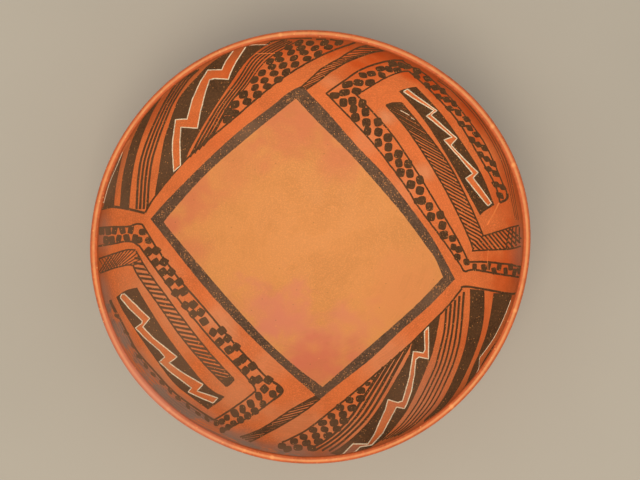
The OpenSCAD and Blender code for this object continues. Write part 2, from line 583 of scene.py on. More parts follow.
# Hatching that turns with a band towards the rim, with the band's own edges listed apart
TURNED_HATCHING = [
    Hatch(12, 1.7, 0,
          [(470, 243), (477, 239.5), (485, 235), (494, 232.5), (501, 230.5), (507, 229), (511, 228)],
          [(478, 250.5), (487, 250.3), (497, 250), (510, 248.5), (516, 246), (520.5, 242.5),
           (521.5, 237)]),
    Hatch(12, 1.05, 0,
          [(108, 256), (117, 253), (126, 250.3), (135.5, 250.5), (141, 259), (144, 264)],
          [(97, 273), (101, 272), (107, 270), (114, 267), (121, 264.8), (133, 265.5)]),
    Hatch(4, 1.2, 0,
          [(521, 227), (515, 226.5), (508, 228)],
          [(521, 240), (512, 248.5), (503, 250)]),
    Hatch(5, 0.7, 0,
          [(97, 259), (104, 257), (111, 255)],
          [(104, 271), (111, 269), (119, 266)]),
]
TURNED_EDGES = [
    Line(HATCH_EDGE, [(482, 236), (490, 234), (510, 227.5), (519, 225.5)]),
    Line(HATCH_EDGE, [(472, 251), (490, 250), (510, 249), (521, 246)]),
    Line(HATCH_EDGE, [(99, 258.5), (110, 255), (126, 250), (135.5, 250)]),
    Line(HATCH_EDGE, [(100, 273), (116, 267.5), (128, 265), (133, 265.5)]),
    Line(HATCH_EDGE, [(386, 105), (393, 103), (402, 103)]),
    Line(HATCH_EDGE, [(234, 379.5), (231, 383), (226.5, 386.5)]),
]
# Ends of hatched bands that are painted in solid
SOLID_ENDS = [
    Stripe([(386, 105.5), (393, 103.3), (401, 102.4)], [(390, 108.5), (396, 107), (406, 107.5)]),
    Stripe([(222, 378), (234, 377)], [(224, 383), (227, 387)]),
]

# Paint along the lip that is worn thin, and dark lines under the lip that are painted shade
WORN_BUNDLES = [
    Bundle(6, 1.7, 1.7,
           [(104, 303), (113, 331), (129, 361), (153, 389), (188, 417), (222, 434)],
           [(112, 304), (123, 325), (136, 350), (155, 372), (175, 393), (200, 411), (222, 424)]),
]
LIP_SHADE_AND_WORN_LINES = [
    # Painted shade: these first two dark lines stand for the shadow just under the lip
    Line(2, [(130, 140), (122, 152), (114, 171), (108, 188)]),
    Line(2.5, [(193, 68.5), (178, 80), (168, 90), (160, 98)]),
    Line(3.5, [(222, 434), (245, 443), (270, 450), (300, 455)]),
]
# Dark lines along the inside of the lip at the upper right: partly worn black paint, partly painted shade
# under the lip
RIM_BUNDLES = [
    Bundle(3, 0.9, 0.4,
           [(437.5, 80), (454, 92.5), (475.5, 116), (492.5, 142.5), (505, 171), (515.5, 220)],
           [(440, 76.5), (457, 89), (479, 113), (496.5, 140.5), (509, 169.5), (518.5, 220)]),
]
WORN_EDGES = [
    Line(1.3, [(517, 301.5), (509, 320.5), (499, 338.5), (487, 356.5), (475, 377.5), (463, 393)]),
    Line(2.6, [(110, 300), (112, 305), (116, 314)]),
    Line(1.8, [(112, 304), (123, 325), (136, 350), (155, 372), (175, 393), (200, 411), (214, 420)]),
]
# Points of paint that still show along the edge of the worn band
WORN_DABS = [Dabs(4.6, 6.6, -0.6, 1.5, [
    (116.5, 316), (126, 333), (132.5, 345.5), (139, 357), (145.5, 366), (153, 374.5), (162, 383),
    (170, 391), (178, 398.5), (188, 406.5), (198, 413.5), (207, 419)])]

# Thin pale lines left by the brush beside the rim, and scratches
PALE_LINES = [
    Line(0.3, [(122.5, 152), (118, 163), (114.5, 171), (109, 184), (103.5, 203)]),
    Line(0.35, [(511, 300), (504, 318), (494, 338), (483, 354), (480, 358), (479, 368), (476.5, 374)]),
    Line(0.35, [(246.5, 45.3), (258, 44.8), (268, 44.6)]),
    Line(0.6, [(400.5, 110.3), (405, 112.5), (409.5, 115)]),
    Line(0.5, [(411, 117.3), (414.5, 119.5)]),
]
SCRATCHES = [
    Line(0.5, [(455, 280), (457, 283.5)]),
    Line(0.45, [(458, 275), (468, 280), (480, 286)]),
    Line(1.3, [(499, 203), (494, 213), (487, 225)]),
    Line(0.45, [(488, 250), (487.5, 260), (488, 270)]),
    Line(0.6, [(256, 53.8), (275, 53.3)]),
]

# Soft patches where the slip or paint changes colour, some of them painted light, shade and sheen: centre,
# radius and strength
BLUSHES = [
    ((172, 224), 24, 0.7), ((192, 200), 34, 0.6), ((190, 250), 30, 0.45), ((232, 165), 44, 0.3),
    ((298, 122), 56, 0.6), ((338, 158), 36, 0.5), ((316, 366), 48, 0.75), ((350, 358), 34, 0.4),
    ((405, 290), 60, 0.2),
]
PINK_FLOOR = [((254, 314), 40, 0.5), ((284, 316), 48, 0.5), ((306, 332), 54, 0.5), ((340, 338), 48, 0.4)]
PALE_FLOOR = [((395, 300), 80, 0.7), ((340, 345), 60, 0.6)]
# Painted light: paler patches of slip, mostly over the lower wall
PAINTED_LIGHT_SLIP = [
    ((332, 82), 14, 0.4), ((387, 117), 14, 0.7), ((425, 172), 14, 0.6), ((365, 140), 26, 0.35),
    ((402, 190), 30, 0.35), ((222, 318), 30, 0.6), ((225, 335), 26, 0.5), ((265, 365), 30, 0.45),
    ((178, 325), 44, 0.55), ((235, 395), 44, 0.55), ((295, 425), 44, 0.5), ((385, 358), 40, 0.55),
    ((350, 430), 40, 0.45), ((420, 410), 36, 0.4), ((140, 300), 50, 0.45), ((165, 370), 44, 0.55),
    ((110, 160), 30, 0.35), ((160, 275), 40, 0.4),
]
# Painted shade: darker, redder patches of slip on the upper and right wall
RED_SHADE_SLIP = [
    ((508, 270), 52, 0.7), ((505, 190), 46, 0.6), ((470, 105), 56, 0.85), ((430, 66), 50, 0.9),
    ((385, 45), 50, 0.9), ((340, 42), 46, 0.8), ((290, 48), 40, 0.5), ((235, 72), 44, 0.55),
    ((355, 72), 30, 0.45), ((205, 130), 40, 0.2), ((160, 110), 40, 0.35), ((480, 330), 40, 0.4),
    ((440, 410), 40, 0.35),
]
# Painted shade and sheen: greyer, duller slip and paint under the lip, mostly on the lower wall
LOWER_RIM_SHADE_AND_SHEEN = [
    ((106, 186), 24, 0.4), ((100, 300), 30, 0.6), ((118, 345), 38, 0.85), ((150, 390), 42, 0.9),
    ((195, 422), 42, 0.9), ((240, 445), 40, 0.85), ((290, 456), 36, 0.8), ((340, 458), 32, 0.5),
    ((102, 235), 26, 0.4), ((415, 390), 60, 0.3), ((524, 250), 34, 0.3),
]
# Painted sheen: patches where the black paint is paler and greyer
BLACK_PAINT_SHEEN = [
    ((168, 345), 120, 0.6), ((115, 245), 60, 0.35), ((245, 402), 60, 0.35), ((325, 432), 60, 0.3),
    ((118, 185), 60, 0.3), ((188, 118), 70, 0.12), ((165, 165), 40, 0.2),
]
# Painted sheen: greyer patches on the lip at the lower left
LIP_SHEEN = [((112, 345), 50, 0.5), ((150, 392), 54, 0.8), ((205, 434), 50, 0.4)]
FRAME_WEAR = [((246, 130), 22, 0.6), ((432, 300), 18, 0.3), ((215, 290), 16, 0.25)]
# Nicks in the lip, and how far each one spreads
NICKS = [(280, 34), (493, 126), (513, 165), (168, 409), (245, 449), (513, 310), (451, 406), (273, 453)]
NICK_RADIUS = 1.9 * MM


# Bowl's form

# Lobes of the rim seen from above, and waves of the lip up and down: how many, how strong, how far turned
RIM_LOBES = [(4, 1, 0), (3, 0.7, 0)]
LIP_WAVES = [(3, 1, 0.8), (7, 0.6, 0)]
# Spacing of the scraped wall's own waves
WALL_WAVE = 45 * MM


def waves(turn, parts):
    """Sum of even waves round the bowl, at a turn."""
    return sum(strength * math.sin(count * turn + start) for count, strength, start in parts)


class Walls:
    """The inner and outer ball and the lip's round, worked out as in the part's source."""

    def __init__(self, shape):
        self.shape = shape
        self.lip_r = shape.lip / 2
        self.lip = Vector((shape.rim_diameter / 2 - self.lip_r, shape.height - self.lip_r))
        half_wall = shape.wall / 2
        depth = self.lip.y - shape.floor
        self.inner_r = (self.lip.x ** 2 + depth ** 2 - half_wall ** 2) / (2 * depth + shape.wall)
        self.inner_z = shape.floor + self.inner_r
        foot_r = shape.foot_diameter / 2
        reach = self.lip.length_squared - foot_r ** 2 - half_wall ** 2
        square_term = 4 * self.lip.y ** 2 - shape.wall ** 2
        rest = reach ** 2 - (shape.wall * foot_r) ** 2
        half_linear = 2 * self.lip.y * reach
        self.outer_z = (half_linear + math.sqrt(half_linear ** 2 - square_term * rest)) / square_term
        self.outer_r = math.hypot(foot_r, self.outer_z)
        self.foot_angle = math.asin(foot_r / self.outer_r)
        self.inner_turn = self.lip_turn(self.inner_z, self.inner_r, self.inner_r + half_wall)
        self.outer_turn = self.lip_turn(self.outer_z, self.outer_r, self.outer_r - half_wall)
        self.inner_end = self.ball_angle(self.inner_z, self.inner_turn)
        self.outer_end = self.ball_angle(self.outer_z, self.outer_turn)

    def lip_turn(self, ball_z, ball_r, distance):
        """Direction from the lip's centre to where a ball meets the lip's round, below the lip."""
        to_ball = math.atan2(ball_z - self.lip.y, -self.lip.x)
        cosine = (self.lip_r ** 2 + distance ** 2 - ball_r ** 2) / (2 * self.lip_r * distance)
        return to_ball + math.acos(cosine)

    def ball_angle(self, ball_z, turn):
        """Angle on a ball, from straight down, of the point at a direction from the lip's centre."""
        across = self.lip.x + self.lip_r * math.cos(turn)
        return math.atan2(across, ball_z - self.lip.y - self.lip_r * math.sin(turn))

    def stretch(self, turn):
        """Share by which the bowl is wider at a turn round its axis."""
        oval = self.shape.out_of_round * math.cos(2 * (turn - self.shape.wide_way))
        return 1 + oval + self.shape.lobed * waves(turn, RIM_LOBES)

    def hand_made(self, across, z, normal, turn, lift):
        """Point of the real surface, for a point and normal of the true section at a turn."""
        place = Vector((across * math.cos(turn), across * math.sin(turn), z))
        lift += self.shape.uneven * noise.noise(place / WALL_WAVE)
        across = (across + lift * normal[0]) * self.stretch(turn)
        near_lip = (z / self.shape.height) ** 4
        up = self.shape.rim_wave * waves(turn, LIP_WAVES) * near_lip
        return Vector((across * math.cos(turn), across * math.sin(turn), z + lift * normal[1] + up))

    def inside(self, angle, turn, lift):
        """Point over the bowl's inside, at an angle from straight down on the inner ball."""
        normal = (-math.sin(angle), math.cos(angle))
        z = self.inner_z - self.inner_r * math.cos(angle)
        return self.hand_made(self.inner_r * math.sin(angle), z, normal, turn, lift)

    def from_pixel(self, pixel):
        """Angle and turn of the point of the bowl's inside that a photograph pixel shows."""
        look = settings("studio_look")
        focal = look.lens / SENSOR * PHOTO_WIDTH
        aside = (Vector(pixel) - AXIS_PIXEL) / focal
        turn = math.atan2(-aside.y, aside.x)
        slope = aside.length / self.stretch(turn)
        above = look.camera_height - self.inner_z
        square = slope ** 2 + 1
        inside_root = above ** 2 - square * (above ** 2 - self.inner_r ** 2)
        depth = (above + math.sqrt(max(inside_root, 0))) / square
        angle = math.atan2(slope * depth, depth - above)
        return min(angle, self.inner_end), turn

    def unrolled(self, pixel):
        """Place of a photograph pixel on the bowl's inside, unrolled flat, in millimetres."""
        angle, turn = self.from_pixel(pixel)
        return Vector((math.cos(turn), math.sin(turn))) * angle * self.inner_r / MM

    def rolled(self, place, lift):
        """Point over the bowl's inside for an unrolled place."""
        return self.inside(place.length * MM / self.inner_r, math.atan2(place.y, place.x), lift)


def bowl_walls():
    return Walls(settings("bowl_shape"))


def covered(places, outlines):
    """For each place, whether it lies inside any of the outlines."""
    places = np.array(places)
    found = np.zeros(len(places), bool)
    for outline in outlines:
        corners = np.array(outline)
        low, high = corners.min(0), corners.max(0)
        near = np.flatnonzero(((places >= low) & (places <= high)).all(1) & ~found)
        x, y = places[near, :1], places[near, 1:]
        x0, y0 = corners.T
        x1, y1 = np.roll(corners, -1, 0).T
        with np.errstate(divide="ignore", invalid="ignore"):
            crossing = ((y0 > y) != (y1 > y)) & (x < x0 + (y - y0) * (x1 - x0) / (y1 - y0))
        found[near] = crossing.sum(1) % 2 == 1
    return found


def finished_mesh(name, form):
    """Mesh from a bmesh, which is freed."""
    mesh = bpy.data.meshes.new(name)
    form.to_mesh(mesh)
    form.free()
    return mesh


def add_object(name, data):
    """Object in the scene for a mesh, a lamp or a camera."""
    made = bpy.data.objects.new(name, data)
    bpy.context.scene.collection.objects.link(made)
    return made


def add_piece(name, mesh, slot, *finishes):
    """Piece for a mesh, with its materials, that rides on the bowl's one body."""
    for finish in finishes:
        mesh.materials.append(finish)
    piece = add_object(name, mesh)
    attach(piece, "root")
    return piece


# Clay body

FINISH_SLIP, FINISH_FLOOR, FINISH_LIP, FINISH_OUTSIDE, FINISH_FOOT = range(5)
# Mesh facets over the lip's round, and points round the middle line of the frame
LIP_FACETS = 18
FRAME_POINTS = 400


class Row(NamedTuple):
    """Point of the body's section, with its normal and the finish of the faces that end there."""
    across: float
    z: float
    normal: tuple
    finish: int


def body_section(walls):
    """Rows from the middle of the floor over the lip to the middle of the foot."""
    facet = walls.shape.facet
    rows = []

    def ball(r, z, start, end, side, finish):
        steps = math.ceil(abs(end - start) * r / facet)
        for angle in np.linspace(start, end, steps + 1):
            across, down = math.sin(angle), math.cos(angle)
            rows.append(Row(r * across, z - r * down, (side * across, -side * down), finish))

    ball(walls.inner_r, walls.inner_z, 0, walls.inner_end, -1, FINISH_SLIP)
    for turn in np.linspace(walls.inner_turn, walls.outer_turn - 2 * math.pi, LIP_FACETS + 1)[1:-1]:
        normal = (math.cos(turn), math.sin(turn))
        across = walls.lip.x + walls.lip_r * normal[0]
        rows.append(Row(across, walls.lip.y + walls.lip_r * normal[1], normal, FINISH_LIP))
    ball(walls.outer_r, walls.outer_z, walls.outer_end, walls.foot_angle, 1, FINISH_OUTSIDE)
    foot_r = walls.shape.foot_diameter / 2
    for across in np.linspace(foot_r, 0, math.ceil(foot_r / facet) + 1)[1:]:
        rows.append(Row(across, 0, (0, -1), FINISH_FOOT))
    return rows


def body_mesh(walls):
    """Closed mesh of the clay body, with a finish for each face."""
    rows = body_section(walls)
    segments = walls.shape.segments
    turns = [2 * math.pi * i / segments for i in range(segments)]
    form = bmesh.new()
    rings = []
    for number, row in enumerate(rows):
        pole = number in (0, len(rows) - 1)
        ring = []
        for turn in turns[:1] if pole else turns:
            point = walls.hand_made(row.across, row.z, row.normal, turn, 0)
            point.z = 0 if row.finish == FINISH_FOOT else max(point.z, 0)
            ring.append(form.verts.new(point))
        rings.append(ring * segments if pole else ring)
    for (low, high), row in zip(pairwise(rings), rows[1:]):
        for i in range(segments):
            corners = [low[i], low[i - 1], high[i - 1], high[i]]
            face = form.faces.new(list(dict.fromkeys(corners)))
            face.material_index = row.finish
            face.smooth = True
    bmesh.ops.recalc_face_normals(form, faces=form.faces)
    mark_floor(form, walls)
    return finished_mesh("bowl_body", form)


def mark_floor(form, walls):
    """Gives the floor's finish to the faces inside the middle line of the painted frame."""
    outer = [walls.unrolled(pixel) for pixel in spread(loop(FRAME_OUTER), FRAME_POINTS)]
    inner = [walls.unrolled(pixel) for pixel in spread(loop(FRAME_INNER), FRAME_POINTS)]
    middle = [start.lerp(end, 0.5) for start, end in zip(outer, inner)]
    inside = [face for face in form.faces if face.material_index == FINISH_SLIP]
    places = []
    for face in inside:
        centre = face.calc_center_median()
        flat = Vector((centre.x, centre.y))
        across = flat.length / walls.stretch(math.atan2(flat.y, flat.x))
        angle = math.atan2(across, walls.inner_z - centre.z)
        places.append(flat.normalized() * angle * walls.inner_r / MM)
    for face, on_floor in zip(inside, covered(places, [middle])):
        if on_floor:
            face.material_index = FINISH_FLOOR


# Paint films, worked out on the unrolled inside in millimetres

# Seed of the brush's strays, which would otherwise differ from run to run
STRAY_SEED = 7
# Spacings of the broad and the fine strays of a brushed edge, and the share of the fine ones
BROAD_STRAY = 4.5
FINE_STRAY = 1.5
FINE_SHARE = 0.6
# Distance within which two points of a film are one
MERGE = 0.01
# Share of the mesh spacing that inner points keep clear of an outline
CLEAR_SHARE = 0.45


def lay_paint(name, finish, outlines, holes=(), layer=0, slot="black_paint"):
    """Piece of paint on the bowl's inside, where a later layer stands higher."""
    add_piece(name, paint_mesh(name, outlines, holes, layer), slot, finish)
    return {"FINISHED"}


def paint_mesh(name, outlines, holes, layer):
    """Closed thin film over the bowl's inside, for all the outlines together less the holes."""
    walls = bowl_walls()
    paint = settings("paint_layer")
    noise.seed_set(STRAY_SEED)
    solid = [brushed(walls, outline, paint.waver / MM) for outline in outlines]
    bare = [brushed(walls, outline, paint.waver / MM) for outline in holes]
    places = [place for outline in solid + bare for place in outline]
    edges = []
    start = 0
    for outline in solid + bare:
        ends = range(start, start + len(outline))
        edges += [(i, i + 1) for i in ends[:-1]] + [(ends[-1], start)]
        start += len(outline)
    places += inner_places(places, paint.facet / MM)
    places, _, faces, *_ = delaunay_2d_cdt(places, edges, [], 0, MERGE)
    centres = [sum((places[i] for i in face), Vector((0, 0))) / len(face) for face in faces]
    kept = covered(centres, solid) & ~covered(centres, bare)
    if not kept.any():
        raise RuntimeError(f"{name} has no painted area")
    faces = [face for face, keep in zip(faces, kept) if keep]
    return film_mesh(name, walls, places, faces, paint.proud + layer * paint.layer_step, -paint.sunk)


def brushed(walls, outline, waver):
    """Outline on the unrolled inside, with the small strays of a brushed edge."""
    made = []
    for pixel in outline:
        place = walls.unrolled(pixel)
        broad = noise.noise_vector((place / BROAD_STRAY).to_3d())
        fine = noise.noise_vector((place / FINE_STRAY).to_3d())
        made.append(place + waver * (broad + FINE_SHARE * fine).to_2d())
    return made


def inner_places(places, spacing):
    """Points of an even grid, clear of the outlines' own points, that let a film bend with the wall."""
    tree = kdtree.KDTree(len(places))
    for i, place in enumerate(places):
        tree.insert(place.to_3d(), i)
    tree.balance()
    low = np.array(places).min(0)
    high = np.array(places).max(0)
    made = []
    for row, y in enumerate(np.arange(low[1], high[1], spacing * math.sqrt(3) / 2)):
        for x in np.arange(low[0] + row % 2 * spacing / 2, high[0], spacing):
            _, _, distance = tree.find((x, y, 0))
            if distance > CLEAR_SHARE * spacing:
                made.append(Vector((x, y)))
    return made


def film_mesh(name, walls, places, faces, top, bottom):
    """Closed mesh from flat faces, between two lifts over the bowl's inside."""
    form = bmesh.new()
    used = sorted({i for face in faces for i in face})
    upper = {i: form.verts.new(walls.rolled(places[i], top)) for i in used}
    lower = {i: form.verts.new(walls.rolled(places[i], bottom)) for i in used}
    for face in faces:
        form.faces.new([upper[i] for i in face]).smooth = True
        form.faces.new([lower[i] for i in face[::-1]]).smooth = True
    sides = {(start, end) for face in faces for start, end in pairwise([*face, face[0]])}
    for start, end in sorted(sides):
        if (end, start) not in sides:
            form.faces.new([upper[end], upper[start], lower[start], lower[end]])
            for edge_ends in ((upper[start], upper[end]), (lower[start], lower[end])):
                form.edges.get(edge_ends).smooth = False
    return finished_mesh(name, form)


# Node groups

class Wiring:
    """Short way to place nodes in one tree and to join them."""

    def __init__(self, tree):
        self.tree = tree

    def add(self, kind, inputs=None, **options):
        """Node of a kind, with its options, and with each input set to a value or joined to an output."""
        node = self.tree.nodes.new("ShaderNode" + kind)
        for option, value in options.items():
            setattr(node, option, value)
        for socket, value in (inputs or {}).items():
            self.put(node.inputs[socket], value)
        return node

    def put(self, socket, value):
        if isinstance(value, bpy.types.NodeSocket):
            self.tree.links.new(value, socket)
        elif socket.type == "RGBA":
            socket.default_value = [*value, 1]
        else:
            socket.default_value = value

    def group(self, name, **inputs):
        """Output of one of the shared node groups, with its values."""
        tree = bpy.data.node_groups.get(name) or GROUPS[name]()
        return self.add("Group", inputs, node_tree=tree).outputs[0]

    def math(self, operation, first, second=0.0):
        return self.add("Math", {0: first, 1: second}, operation=operation).outputs[0]

    def fade(self, value, taken, given=(0.0, 1.0)):
        """Value carried smoothly from the range that it is taken from to a given one."""
        inputs = dict(enumerate([value, *taken, *given]))
        return self.add("MapRange", inputs, interpolation_type="SMOOTHSTEP").outputs[0]

    def mix(self, share, first, second):
        """Colour between two colours, whose sockets come after those for numbers and vectors."""
        return self.add("Mix", {0: share, 6: first, 7: second}, data_type="RGBA").outputs[2]

    def tinted(self, clay, tint, mask, strength):
        """Colour brought towards a tint by a mask, up to a strength."""
        return self.mix(self.math("MULTIPLY", mask, strength), clay, tint)

    def apart(self, vector):
        """The three parts of a vector."""
        return self.add("SeparateXYZ", {0: vector}).outputs

    def place(self):
        return self.add("TexCoord").outputs["Object"]

    def clouds(self, scale, detail=2.0, place=None):
        """Noise between about 0.3 and 0.7."""
        inputs = {"Vector": place or self.place(), "Scale": scale, "Detail": detail}
        return self.add("TexNoise", inputs).outputs[0]


def new_group(name, output, kind, **inputs):
    """Empty node group with named sockets: its wiring, its inputs and the socket for its output."""
    tree = bpy.data.node_groups.new(name, "ShaderNodeTree")
    for socket, socket_kind in inputs.items():
        tree.interface.new_socket(socket, in_out="INPUT", socket_type="NodeSocket" + socket_kind)
    tree.interface.new_socket(output, in_out="OUTPUT", socket_type="NodeSocket" + kind)
    entry = tree.nodes.new("NodeGroupInput")
    leave = tree.nodes.new("NodeGroupOutput")
    return Wiring(tree), entry.outputs, leave.inputs[0]


def clay_mottle_group():
    """Slip or paint that varies in soft clouds and in a fine grain, each of a scale."""
    wiring, given, out = new_group("clay_mottle", "Colour", "Color", Base="Color", Deep="Color",
                                   Pale="Color", Clouds="Float", Grain="Float")
    cloud = wiring.fade(wiring.clouds(given["Clouds"], detail=3.0), (0.42, 0.66))
    grain = wiring.fade(wiring.clouds(given["Grain"], detail=5.0), (0.4, 0.72))
    clouded = wiring.mix(cloud, given["Base"], given["Deep"])
    wiring.put(out, wiring.mix(grain, clouded, given["Pale"]))
    return wiring.tree


def grit_group():
    """Mask of small separate specks, with the share of cells that hold one."""
    wiring, given, out = new_group("grit", "Mask", "Float", Scale="Float", Share="Float", Size="Float")
    cells = wiring.add("TexVoronoi", {"Vector": wiring.place(), "Scale": given["Scale"]}).outputs
    chance = wiring.add("SeparateColor", {0: cells["Color"]}).outputs[0]
    chosen = wiring.math("LESS_THAN", chance, given["Share"])
    reach = wiring.math("DIVIDE", cells["Distance"], given["Size"])
    wiring.put(out, wiring.math("MULTIPLY", chosen, wiring.fade(reach, (0.6, 1.0), (1.0, 0.0))))
    return wiring.tree


def polish_marks_group():
    """Height of the fine marks that scraping and rubbing leave round the wall."""
    wiring, given, out = new_group("polish_marks", "Height", "Float", Scale="Float", Waver="Float")
    place = wiring.place()
    x, y, z = wiring.apart(place)
    squares = wiring.math("ADD", wiring.math("MULTIPLY", x, x), wiring.math("MULTIPLY", y, y))
    waver = wiring.math("MULTIPLY", wiring.clouds(scale=22.0, place=place), given["Waver"])
    across = wiring.math("ADD", wiring.math("SQRT", squares), waver)
    rings = wiring.add("CombineXYZ", {0: across, 1: wiring.math("ADD", z, waver)}).outputs[0]
    marks = wiring.clouds(given["Scale"], detail=3.0, place=rings)
    breaks = wiring.fade(wiring.clouds(scale=60.0, place=place), (0.4, 0.6))
    wiring.put(out, wiring.math("MULTIPLY", marks, breaks))
    return wiring.tree


def soft_spot_group():
    """Mask of one soft ragged patch round a point."""
    wiring, given, out = new_group("soft_spot", "Mask", "Float", Centre="Vector", Radius="Float",
                                   Ragged="Float")
    place = wiring.place()
    gap = wiring.add("VectorMath", {0: place, 1: given["Centre"]}, operation="DISTANCE").outputs["Value"]
    share = wiring.math("DIVIDE", gap, given["Radius"])
    uneven = wiring.math("SUBTRACT", wiring.clouds(scale=70.0, detail=3.0, place=place), 0.5)
    ragged = wiring.math("MULTIPLY", uneven, given["Ragged"])
    wiring.put(out, wiring.fade(wiring.math("ADD", share, ragged), (0.1, 1.0), (1.0, 0.0)))
    return wiring.tree


def thin_paint_group():
    """Mask of places where a brushed film is thin and lets the slip through."""
    wiring, given, out = new_group("thin_paint", "Mask", "Float", Scale="Float", Share="Float")
    broad_scale = wiring.math("MULTIPLY", given["Scale"], 0.12)
    fine = wiring.math("MULTIPLY", wiring.clouds(given["Scale"], detail=6.0), 0.6)
    broad = wiring.math("MULTIPLY", wiring.clouds(broad_scale), 0.4)
    # Level of the clouds from which the film is thin, which is lower for a greater share
    level = wiring.math("SUBTRACT", 0.68, wiring.math("MULTIPLY", given["Share"], 0.36))
    above = wiring.math("SUBTRACT", wiring.math("ADD", fine, broad), level)
    wiring.put(out, wiring.fade(above, (-0.05, 0.07)))
    return wiring.tree


GROUPS = {"clay_mottle": clay_mottle_group, "grit": grit_group, "polish_marks": polish_marks_group,
          "soft_spot": soft_spot_group, "thin_paint": thin_paint_group}


# Materials

# Share of the plain specular reflection that fired slip and mineral paint keep
SLIP_SHEEN = 0.25
# Heights between which the slip under the lip is darkened as painted shade
UNDER_LIP_SHADE_HEIGHTS = (87 * MM, 103 * MM)
# Fire clouds outside: turn round the bowl and angle up from straight down, in degrees, radius and strength
FIRE_CLOUDS = [(205, 52, 58 * MM, 0.8), (238, 66, 34 * MM, 0.55), (40, 60, 44 * MM, 0.65),
               (110, 38, 30 * MM, 0.4)]


def toned(base, share):
    """Colour brought lighter by a share above one, or darker by a share below one."""
    return [min(1, level * share) for level in base]


def pixel_size():
    """Width in metres of a photograph pixel at the resting face."""
    look = settings("studio_look")
    return look.camera_height * SENSOR / (look.lens * PHOTO_WIDTH)


class Finish(Wiring):
    """Material of slip, clay or paint, with its Principled shader, put together from the shared groups."""

    def __init__(self, name):
        self.material = bpy.data.materials.new(name)
        self.material.use_nodes = True
        super().__init__(self.material.node_tree)
        self.shader = self.tree.nodes["Principled BSDF"].inputs
        self.shader["Specular IOR Level"].default_value = SLIP_SHEEN

    def mottled(self, base, deep, pale, clouds, grain):
        """Base colour in soft clouds and a fine grain, whose tones are shares of it."""
        return self.group("clay_mottle", Base=base, Deep=toned(base, deep), Pale=toned(base, pale),
                          Clouds=clouds, Grain=grain)

    def patched(self, clay, patches, tint, ragged=1.2):
        """Colour with soft patches of a tint on the bowl's inside."""
        walls = bowl_walls()
        for pixel, radius, strength in patches:
            centre = walls.inside(*walls.from_pixel(pixel), 0)
            spot = self.group("soft_spot", Centre=centre, Radius=radius * pixel_size(), Ragged=ragged)
            clay = self.tinted(clay, tint, spot, strength)
        return clay

    def streaked(self, clay, tint, marks, strength):
        """Colour with the polishing marks drawn in a tint."""
        return self.mix(self.fade(marks, (0.3, 0.6), (0.0, strength)), clay, tint)

    def coat(self, clay, roughness, relief, strength, depth):
        """Joins colour, roughness and fine relief to the shader, and gives the material."""
        bump = self.add("Bump", {"Height": relief, "Strength": strength, "Distance": depth})
        self.put(self.shader["Base Color"], clay)
        self.put(self.shader["Roughness"], roughness)
        self.put(self.shader["Normal"], bump.outputs[0])
        return self.material


def slip_finish():
    """Rubbed red slip of the inside wall."""
    colours = settings("bowl_colours")
    base = colours.slip
    finish = Finish("inside_slip")
    clay = finish.mottled(base, deep=0.86, pale=1.2, clouds=38.0, grain=1100.0)
    # Painted shade: darker, redder slip near the lip at the top and right
    clay = finish.patched(clay, RED_SHADE_SLIP, colours.deep)
    # Painted light: paler patches of slip
    clay = finish.patched(clay, PAINTED_LIGHT_SLIP, colours.rubbed, ragged=0.8)
    height = finish.apart(finish.place())[2]
    # Painted shade: the slip darkens towards the lip
    clay = finish.mix(finish.fade(height, UNDER_LIP_SHADE_HEIGHTS, (0.0, 0.45)), clay, colours.under_lip_shade)
    # Painted shade and sheen: greyer slip under the lip
    clay = finish.patched(clay, LOWER_RIM_SHADE_AND_SHEEN, colours.shade_and_sheen_grey, ragged=0.5)
    specks = finish.group("grit", Scale=620.0, Share=0.04, Size=0.24)
    marks = finish.group("polish_marks", Scale=900.0, Waver=0.006)
    clay = finish.tinted(clay, toned(base, 1.5), specks, strength=0.5)
    clay = finish.streaked(clay, toned(base, 0.7), marks, strength=0.2)
    roughness = finish.fade(marks, (0.1, 0.6), (0.6, 0.72))
    return finish.coat(clay, roughness, marks, strength=0.25, depth=0.2 * MM)


def floor_finish():
    """Ochre slip of the floor, with redder patches where the firing caught it."""
    colours = settings("bowl_colours")
    base = colours.floor
    finish = Finish("floor_slip")
    clay = finish.mottled(base, deep=0.93, pale=1.12, clouds=26.0, grain=1100.0)
    clay = finish.patched(clay, PALE_FLOOR, toned(base, 1.12))
    clay = finish.patched(clay, PINK_FLOOR, colours.pink, ragged=2.2)
    clay = finish.patched(clay, BLUSHES, colours.blush)
    specks = finish.group("grit", Scale=520.0, Share=0.012, Size=0.26)
    pits = finish.group("grit", Scale=430.0, Share=0.02, Size=0.22)
    marks = finish.group("polish_marks", Scale=700.0, Waver=0.012)
    clay = finish.tinted(clay, toned(base, 1.5), specks, strength=0.45)
    clay = finish.tinted(clay, toned(base, 0.45), pits, strength=0.5)
    clay = finish.streaked(clay, toned(base, 0.7), marks, strength=0.12)
    roughness = finish.fade(marks, (0.1, 0.6), (0.64, 0.76))
    relief = finish.math("SUBTRACT", marks, pits)
    return finish.coat(clay, roughness, relief, strength=0.2, depth=0.2 * MM)


